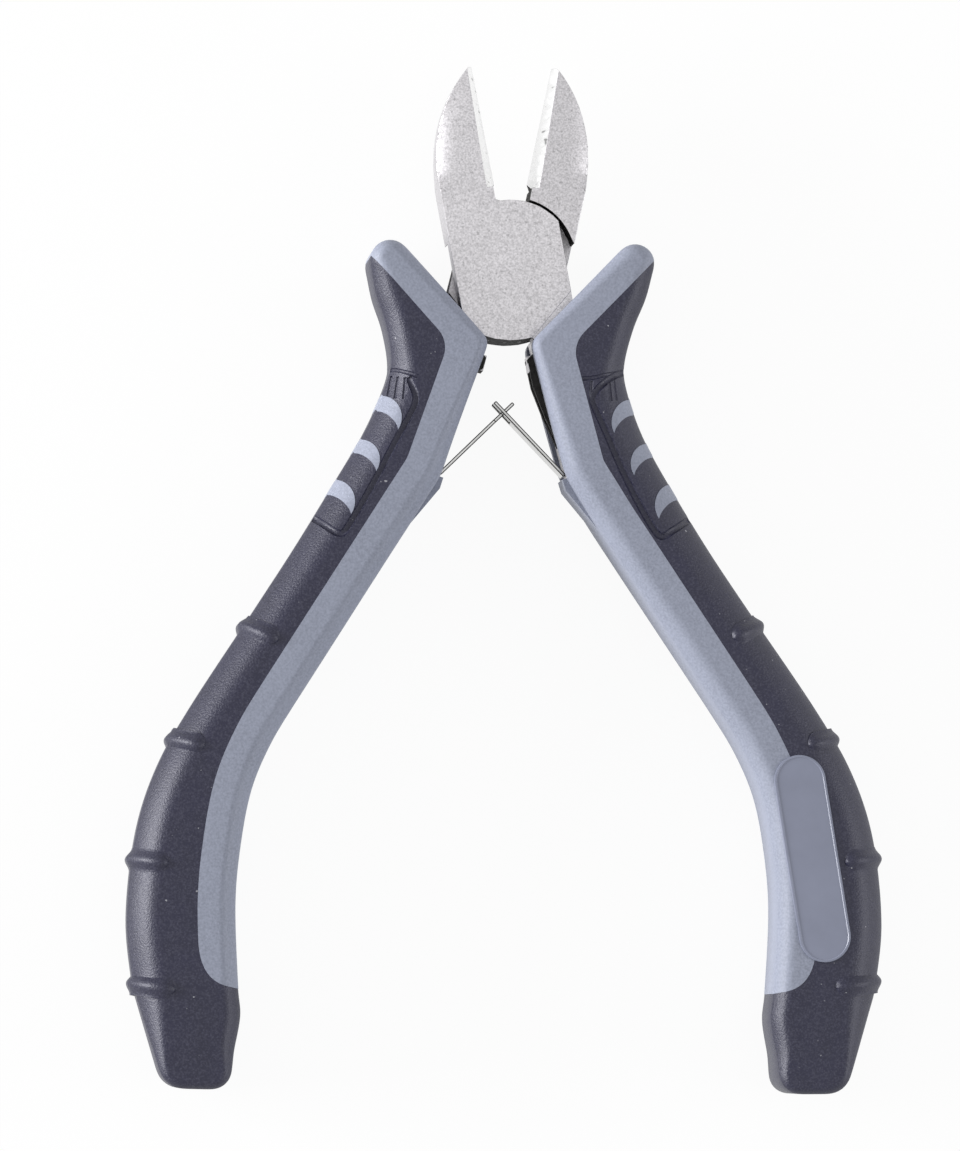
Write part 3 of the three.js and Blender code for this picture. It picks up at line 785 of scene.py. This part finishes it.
def lip_prism():
    """The spring channel's closed end, proud of the inner edge."""
    out = -left_of(NOTCH)
    end = NOTCH_END + NOTCH * LIP_LENGTH
    outline = [
        NOTCH_END + out * LIP_PROUD,
        end + out * LIP_PROUD,
        SHANK_START,
        end - out * CHANNEL_DEPTH * 2,
        NOTCH_END - out * CHANNEL_DEPTH * 2,
    ]
    return prism(outline, -LIP_HALF, LIP_HALF)


def channel_prism():
    """The spring's channel in the inner edge, from the elbow to the lip."""
    out = -left_of(NOTCH)
    top = ELBOW - NOTCH * ELBOW_ROUND
    outline = [
        top + out * CHANNEL_OPEN,
        NOTCH_END + out * CHANNEL_OPEN,
        NOTCH_END - out * CHANNEL_DEPTH,
        top - out * CHANNEL_DEPTH,
    ]
    return prism(outline, -CHANNEL_HALF, CHANNEL_HALF)


def head_pocket():
    circle = arc(Vector((0.0, 0.0)), HEAD_POCKET_R, 0.0, 2 * math.pi)[:-1]
    return prism(circle, -HEAD_POCKET_HALF, HEAD_POCKET_HALF)


def on_front(point, half, stations):
    """The front's point above a point of the plane, on the flat or down over a shoulder."""
    i = min(range(len(stations)), key=lambda k: (point - stations[k].xy).length)
    way = left_of(direction(stations[i - 1].xy, stations[(i + 1) % len(stations)].xy))
    width = stations[i].z
    share = (point - stations[i].xy).dot(way) / width
    return Vector((point.x, point.y, half - width * shoulder_drop(share)))


def groove_tube(line, face, radius, half, stations):
    """A round cutter along a line on the front (face 1) or the back (face -1)."""
    path = [on_front(p, half, stations) for p in line]
    last = len(path) - 1
    turns = [2 * math.pi * i / TUBE_SIDES for i in range(TUBE_SIDES)]
    rings = []
    for i, place in enumerate(path):
        along = (path[min(i + 1, last)] - path[max(i - 1, 0)]).normalized()
        side = along.cross(Vector((0.0, 0.0, 1.0))).normalized()
        up = side.cross(along)
        centre = place + up * GROOVE_SINK
        ring = [centre + (side * math.cos(turn) + up * math.sin(turn)) * radius for turn in turns]
        rings.append([Vector((p.x, p.y, p.z * face)) for p in ring])
    bm = bmesh.new()
    loft(bm, rings)
    return closed_object("groove", bm)


def rib_piece(drop, inner_end, half, size, stations):
    """A finger rib: a round-ended bead that swells out of the outer shoulder, from front to back."""
    at = outer_edge_at(drop)
    across = left_of(direction(at, inner_end)).to_3d()
    front = [on_front(inner_end.lerp(at, i / RIB_STEPS), half, stations) for i in range(RIB_STEPS + 1)]
    places = front + [Vector((p.x, p.y, -p.z)) for p in reversed(front)]
    last = len(places) - 1
    shares = [2 * i / RIB_CREST_STEPS - 1 for i in range(RIB_CREST_STEPS + 1)]
    rings = []
    for i, place in enumerate(places):
        along = (places[min(i + 1, last)] - places[max(i - 1, 0)]).normalized()
        out = across.cross(along)
        end = min((place - places[0]).length, (place - places[last]).length)
        full = max(math.sqrt(1 - (1 - min(end / (size.rib_width / 2), 1.0)) ** 2), RIB_END_SHARE)
        wide = across * (size.rib_width / 2 * full)
        high = size.rib_height * full
        crest = [place + wide * x + out * (high * (0.5 + 0.5 * math.cos(math.pi * x))) for x in shares]
        rings.append([*crest, place + wide - out * RIB_ROOT, place - wide - out * RIB_ROOT])
    bm = bmesh.new()
    loft(bm, rings)
    return closed_object("rib", bm)


class CUTTERS_OT_grip_cores(bpy.types.Operator):
    """Model the hard light cores of both grips"""
    bl_idname = "cutters.grip_cores"
    bl_label = "Grip cores"

    def execute(self, context):
        size = context.scene.cutters_grip
        half = size.thickness / 2
        stations = grip_stations(size)
        core = slab(stations, half, size.proud)
        strip = prism(strip_outline(size.strip_width, size.wing_strip), -FAR, FAR)
        core = boolean(core, "INTERSECT", strip)
        core = boolean(core, "DIFFERENCE", head_pocket(), channel_prism())
        windows = []
        for corners in CRESCENTS:
            window = slab(stations, half, size.proud * 2)
            windows.append(boolean(window, "INTERSECT", crescent_prism(corners, FAR)))
        core = gather(core, lip_prism(), pad_piece(size, half), *windows)
        smooth_faces(core, GRIP_SMOOTH)
        finishes = [light_grip(context.scene.cutters_colours), pad_grip(context.scene.cutters_colours)]
        for side in SIDES:
            piece = copied(core, f"{side}_core")
            piece.data.transform(closed_to_row(side))
            finish_piece(
                piece, f"{side}_core", f"{side}_handle_half", [f"{side}_grip_core"], finishes)
        discard(core)
        return {"FINISHED"}


class CUTTERS_OT_grip_overmoulds(bpy.types.Operator):
    """Model the soft dark overmoulds of both grips, with their ribs and thumb pads"""
    bl_idname = "cutters.grip_overmoulds"
    bl_label = "Grip overmoulds"

    def execute(self, context):
        size = context.scene.cutters_grip
        half = size.thickness / 2
        stations = grip_stations(size)
        skin = slab(stations, half)
        under = strip_outline(size.strip_width - size.seam_overlap, size.wing_strip - size.seam_overlap)
        skin = boolean(skin, "DIFFERENCE", prism(under, -FAR, FAR))
        for face, groove, step, bars in THUMB_PADS:
            cuts = [(groove, size.groove_r), (step, size.step_r)]
            cuts += [(bar, size.bar_r) for bar in bars]
            for line, radius in cuts:
                tube = groove_tube(spline(line, OUTLINE_STEP), face, radius, half, stations)
                skin = boolean(skin, "DIFFERENCE", tube)
        finish = dark_grip(context.scene.cutters_colours)
        for side in SIDES:
            piece = copied(skin, f"{side}_overmould")
            lower = RIB_LOWER[side]
            for drop, end in zip(RIB_DROPS, RIB_ENDS):
                gather(piece, rib_piece(drop + lower, end - Vector((0.0, lower)), half, size, stations))
            smooth_faces(piece, GRIP_SMOOTH)
            piece.data.transform(closed_to_row(side))
            finish_piece(
                piece, f"{side}_overmould", f"{side}_handle_half",
                [f"{side}_grip_overmould"], [finish])
        discard(skin)
        return {"FINISHED"}


# Steel: how the solids' meshes are merged, collapsed, made whole and rounded
WELD = 0.001 * MM
SHORT_EDGE = 0.08 * MM
SHORT_SPRING_EDGE = 0.01 * MM
COPLANAR = math.radians(0.4)
SHARP = math.radians(24)

# Neck and slotted rail of each forging, closed frame
LAP_HALF = 0.05 * MM
HEAD_HALF = 3.2 * MM
NECK = (mm(0.8, -8.5), mm(1.5, -9.4), mm(5.7, -6.4), mm(5.7, -4.3))
RAILS = {
    "right": (
        mm(1.0, -9.9), mm(0.1, -10.6), mm(0.3, -13.6), mm(1.1, -17.2),
        mm(2.05, -20.5), mm(2.4, -20.5), mm(1.4, -9.9),
    ),
    "left": (
        mm(1.0, -9.9), mm(0.14, -10.5), mm(0.2, -11.7), mm(0.7, -12.1),
        mm(1.4, -12.1), mm(1.4, -9.9),
    ),
}
RAIL_HALF = 1.55 * MM
RAIL_SLOT_HALF = 0.7 * MM

# Finishes of a forging, and the faces that get them: painted shade goes on the walls round the joint that
# don't face the left lamp
BLASTED = 0
GROUND = 1
PAINTED_SHADE = 2
# The left half's steel is the same as the right's, dimmed to 0.92 as painted shade
FORGINGS = (("front_half", "right", 1.0), ("back_half", "left", 0.92))
EDGE_SLOPE = math.radians(20)
EDGE_MATCH = 0.998
# Walls facing left past OUTER_WALL face the left lamp and stay blasted steel; other walls below the top get
# painted shade
OUTER_WALL = -0.8
PAINTED_SHADE_TOP = 8.65 * MM

# Faces of a spring strip between these tilts are its rounded edges, which get painted shade
WALL_TILT = 0.1
FLAT_TILT = 0.97

# The jaws' crown, closed frame
CROWN_FOOT = 8.7 * MM
CROWN_RISE = 2.5 * MM
CROWN_FADE = 6.0 * MM
CROWN_CUT = 0.35 * MM
CUT_WELD = SHORT_EDGE / 100
RIM_STEPS = 8
RIM_FLAT = 0.8
RIM_WALL = 0.2
PLATE_FLAT = 0.99


def whole_copy(node, short=SHORT_EDGE):
    """A node's solid with its short edges collapsed and its flat faces made whole."""
    bm = bmesh.new()
    bm.from_mesh(frame["nodes"][node].data)
    bmesh.ops.remove_doubles(bm, verts=bm.verts, dist=WELD)
    bmesh.ops.dissolve_degenerate(bm, dist=short, edges=bm.edges)
    bmesh.ops.dissolve_limit(bm, angle_limit=COPLANAR, verts=bm.verts, edges=bm.edges)
    return bm


def round_sharp(bm, offset):
    edges = [edge for edge in bm.edges if edge.calc_face_angle(0.0) > SHARP]
    bmesh.ops.bevel(
        bm, geom=edges, offset=offset, affect="EDGES", segments=2, profile=0.5, material=-1,
        clamp_overlap=False)


def is_crown(edge):
    """Whether an edge, in the closed frame, runs along the outer rim of a jaw's face."""
    middle = (edge.verts[0].co + edge.verts[1].co) / 2
    flat, wall = sorted(edge.link_faces, key=lambda face: -abs(face.normal.z))
    upright = abs(flat.normal.z) > RIM_FLAT and abs(wall.normal.z) < RIM_WALL
    return upright and wall.normal.x < -RIM_WALL and middle.y > CROWN_FOOT


def is_jaw_face(face):
    """Whether a face, in the closed frame, is flat and lies wholly on a jaw's front or back."""
    lowest = min(vert.co.y for vert in face.verts)
    return abs(face.normal.z) > LOOKS_UP and lowest > CROWN_FOOT - SHORT_EDGE


def cut_flats(bm, faces, place, way):
    geom = {part for face in faces for part in (face, *face.edges, *face.verts)}
    bmesh.ops.bisect_plane(bm, geom=list(geom), dist=CUT_WELD, plane_co=place, plane_no=way)


def ease(share):
    share = min(max(share, 0.0), 1.0)
    return share * share * (3 - 2 * share)


def crown_jaw(bm, size):
    """The jaw's flats cut into a fine grid, which then falls away in a soft curve towards the outer rim."""
    flats = [face for face in bm.faces if abs(face.normal.z) > PLATE_FLAT]
    cut_flats(bm, flats, (0.0, CROWN_FOOT, 0.0), (0.0, 1.0, 0.0))
    ends = [[vert.co.copy() for vert in edge.verts] for edge in bm.edges if is_crown(edge)]
    rim = [start.lerp(end, i / RIM_STEPS).xy for start, end in ends for i in range(RIM_STEPS + 1)]
    corners = [vert.co for face in bm.faces if is_jaw_face(face) for vert in face.verts]
    for axis, way in enumerate((Vector((1.0, 0.0, 0.0)), Vector((0.0, 1.0, 0.0)))):
        low = min(corner[axis] for corner in corners)
        count = int((max(corner[axis] for corner in corners) - low) / CROWN_CUT)
        for i in range(1, count):
            flats = [face for face in bm.faces if is_jaw_face(face)]
            cut_flats(bm, flats, way * (low + i * CROWN_CUT), way)
    tip = max(point.y for point in rim)
    for vert in {vert for face in bm.faces if is_jaw_face(face) for vert in face.verts}:
        near = min((vert.co.xy - point).length for point in rim)
        across = max(1.0 - near / size.crown_width, 0.0) ** 2
        along = ease((vert.co.y - CROWN_FOOT) / CROWN_RISE) * ease((tip - vert.co.y) / CROWN_FADE)
        vert.co.z -= math.copysign(size.crown_drop * across * along, vert.co.z)
    bm.normal_update()


class CUTTERS_OT_forged_halves(bpy.types.Operator):
    """Model both forged halves and the rivet that joins them"""
    bl_idname = "cutters.forged_halves"
    bl_label = "Forged halves"

    def execute(self, context):
        size = context.scene.cutters_steel
        colours = context.scene.cutters_colours
        shared = [ground_steel(colours), painted_shade_steel(colours)]
        for node, side, share in FORGINGS:
            finishes = [blasted_steel(colours, f"{side}_blasted_steel", share), *shared]
            place = closed_to_row(side)
            bm = whole_copy(node)
            bm.transform(place.inverted())
            crown_jaw(bm, size)
            round_sharp(bm, size.edge_round)
            self.finish_faces(bm)
            piece = closed_object(node, bm)
            # The rails and the neck's side walls get the painted shade as well
            front_rail = coat(prism(RAILS[side], RAIL_SLOT_HALF, RAIL_HALF), PAINTED_SHADE)
            back_rail = coat(prism(RAILS[side], -RAIL_HALF, -RAIL_SLOT_HALF), PAINTED_SHADE)
            neck = prism(NECK, LAP_HALF, HEAD_HALF)
            for face in neck.data.polygons:
                face.material_index = BLASTED if abs(face.normal.z) > LOOKS_SIDEWAYS else PAINTED_SHADE
            gather(piece, neck, front_rail, back_rail)
            piece.data.transform(place)
            smooth_faces(piece, FORGING_SMOOTH)
            finish_piece(piece, f"{side}_forging", f"{side}_handle_half", [node], finishes)
        bm = whole_copy("pivot_rivet")
        round_sharp(bm, size.edge_round)
        rivet = closed_object("rivet", bm)
        smooth_faces(rivet, STRIP_SMOOTH)
        finish_piece(
            rivet, "rivet", "right_handle_half", ["pivot_rivet"],
            [blasted_steel(colours, "rivet_steel", 1.0)])
        return {"FINISHED"}

    def finish_faces(self, bm):
        """Ground finish on the cutting edges' slopes, painted shade on the walls round the joint that don't
        face the left lamp.
        """
        slopes = [Vector((math.cos(EDGE_SLOPE), 0.0, face * math.sin(EDGE_SLOPE))) for face in (1, -1)]
        for face in bm.faces:
            sideways = abs(face.normal.z) < LOOKS_SIDEWAYS and face.normal.x > OUTER_WALL
            if any(face.normal.dot(slope) > EDGE_MATCH for slope in slopes):
                face.material_index = GROUND
            elif sideways and face.calc_center_median().y < PAINTED_SHADE_TOP:
                face.material_index = PAINTED_SHADE


class CUTTERS_OT_springs(bpy.types.Operator):
    """Model the two crossing spring strips"""
    bl_idname = "cutters.springs"
    bl_label = "Springs"

    def execute(self, context):
        size = context.scene.cutters_steel
        colours = context.scene.cutters_colours
        finishes = [spring_steel(colours), painted_shade_steel(colours)]
        for side in SIDES:
            for node, name, body in (
                (f"{side}_spring_blade", f"{side}_strip", f"{side}_spring"),
                (f"{side}_spring_foot", f"{side}_strip_foot", f"{side}_handle_half"),
            ):
                bm = whole_copy(node, SHORT_SPRING_EDGE)
                round_sharp(bm, size.spring_round)
                for face in bm.faces:
                    # Rounded edges get the painted shade finish; flat faces and sides get the spring steel
                    face.material_index = int(WALL_TILT < abs(face.normal.z) < FLAT_TILT)
                piece = closed_object(name, bm)
                smooth_faces(piece, STRIP_SMOOTH)
                finish_piece(piece, name, body, [node], finishes)
        return {"FINISHED"}


# Stage: lengths in metres, lamps with their place, width and height, and watts
FLOOR_DROP = 0.62 * MM
FLOOR_HALF = 1.5
FLOOR_GLOW = 0.93
FILL_LIGHT = 0.62
CAMERA_REACH = 10.0
CAMERA_OFFSET = Vector((-66.46, -83.19, 750.19)) * MM
CAMERA_TURN = Euler((0.0652, -0.0851, 0.0088), "XYZ")
CAMERA_FOCAL_PIXELS = 7063.1
SENSOR_WIDTH = 36.0
LAMPS = (
    ("left_softbox", (-0.64, 0.06, 0.14), (0.4, 0.16), 6.2),
    ("right_softbox", (0.6, -0.05, 0.25), (0.4, 0.3), 1.4),
)


def looked_at(tree):
    """1 where the camera sees a thing, also in a mirror or through glass, and 0 where it lights the tool."""
    rays = tree.nodes.new("ShaderNodeLightPath").outputs
    seen = rays["Is Camera Ray"]
    for kind in ("Is Glossy Ray", "Is Transmission Ray"):
        either = tree.nodes.new("ShaderNodeMath")
        either.operation = "MAXIMUM"
        tree.links.new(seen, either.inputs[0])
        tree.links.new(rays[kind], either.inputs[1])
        seen = either.outputs[0]
    return seen


def floor_material(colours):
    finish = Finish("floor", colours.floor, roughness=0.9)
    tree = finish.tree
    glow = tree.nodes.new("ShaderNodeEmission")
    glow.inputs["Color"].default_value = WHITE
    blend = tree.nodes.new("ShaderNodeMixShader")
    finish.link(finish.maths("MULTIPLY", looked_at(tree), FLOOR_GLOW), blend, 0)
    finish.link(finish.shader.outputs["BSDF"], blend, 1)
    finish.link(glow.outputs["Emission"], blend, 2)
    finish.link(blend.outputs["Shader"], tree.nodes["Material Output"], "Surface")
    return finish.material


class CUTTERS_OT_stage(bpy.types.Operator):
    """Set the floor, the lamps, the surroundings and the camera"""
    bl_idname = "cutters.stage"
    bl_label = "Stage"

    def execute(self, context):
        scene = context.scene
        bm = bmesh.new()
        bmesh.ops.create_grid(bm, x_segments=1, y_segments=1, size=FLOOR_HALF)
        bmesh.ops.translate(bm, verts=bm.verts, vec=(0.0, 0.0, -FLOOR_DROP))
        floor = closed_object("floor", bm)
        floor.data.materials.append(floor_material(scene.cutters_colours))
        for name, place, (wide, high), watts in LAMPS:
            lamp = bpy.data.lights.new(name, "AREA")
            lamp.shape = "RECTANGLE"
            lamp.size = wide
            lamp.size_y = high
            lamp.energy = watts
            holder = bpy.data.objects.new(name, lamp)
            holder.location = place
            holder.rotation_euler = (-Vector(place)).to_track_quat("-Z", "Y").to_euler()
            scene.collection.objects.link(holder)
        self.surroundings(scene)
        lens = bpy.data.cameras.new("camera")
        lens.sensor_fit = "HORIZONTAL"
        lens.sensor_width = SENSOR_WIDTH
        lens.lens = CAMERA_FOCAL_PIXELS * SENSOR_WIDTH / PHOTO_WIDTH
        lens.clip_end = CAMERA_REACH
        camera = bpy.data.objects.new("camera", lens)
        camera.location = PIVOT + CAMERA_OFFSET
        camera.rotation_euler = CAMERA_TURN
        scene.collection.objects.link(camera)
        scene.camera = camera
        scene.view_settings.view_transform = "Standard"
        return {"FINISHED"}

    def surroundings(self, scene):
        world = bpy.data.worlds.new("surroundings")
        world.use_nodes = True
        scene.world = world
        tree = world.node_tree
        strength = tree.nodes.new("ShaderNodeMapRange")
        strength.inputs["To Min"].default_value = FILL_LIGHT
        strength.inputs["To Max"].default_value = 1.0
        tree.links.new(looked_at(tree), strength.inputs["Value"])
        background = tree.nodes["Background"]
        background.inputs["Color"].default_value = WHITE
        tree.links.new(strength.outputs["Result"], background.inputs["Strength"])


class CUTTERS_PT_panel(bpy.types.Panel):
    """Lists the steps that model the cutters"""
    bl_idname = "CUTTERS_PT_panel"
    bl_label = "Diagonal cutters"
    bl_space_type = "VIEW_3D"
    bl_region_type = "UI"
    bl_category = "Cutters"

    def draw(self, context):
        for operator in OPERATORS:
            self.layout.operator(operator.bl_idname)
        scene = context.scene
        for group in (scene.cutters_grip, scene.cutters_steel, scene.cutters_colours):
            for name in group.bl_rna.properties.keys():
                if name not in ("rna_type", "name"):
                    self.layout.prop(group, name)


OPERATORS = (
    CUTTERS_OT_forged_halves,
    CUTTERS_OT_grip_cores,
    CUTTERS_OT_grip_overmoulds,
    CUTTERS_OT_springs,
    CUTTERS_OT_stage,
)
CLASSES = (CuttersGripSizes, CuttersSteelSizes, CuttersColours, *OPERATORS, CUTTERS_PT_panel)


def register():
    for cls in CLASSES:
        bpy.utils.register_class(cls)
    bpy.types.Scene.cutters_grip = bpy.props.PointerProperty(type=CuttersGripSizes)
    bpy.types.Scene.cutters_steel = bpy.props.PointerProperty(type=CuttersSteelSizes)
    bpy.types.Scene.cutters_colours = bpy.props.PointerProperty(type=CuttersColours)


def unregister():
    del bpy.types.Scene.cutters_grip
    del bpy.types.Scene.cutters_steel
    del bpy.types.Scene.cutters_colours
    for cls in reversed(CLASSES):
        bpy.utils.unregister_class(cls)


def main():
    register()
    bpy.ops.cutters.stage()
    bpy.ops.cutters.forged_halves()
    bpy.ops.cutters.grip_cores()
    bpy.ops.cutters.grip_overmoulds()
    bpy.ops.cutters.springs()


if __name__ == "__main__":
    main()
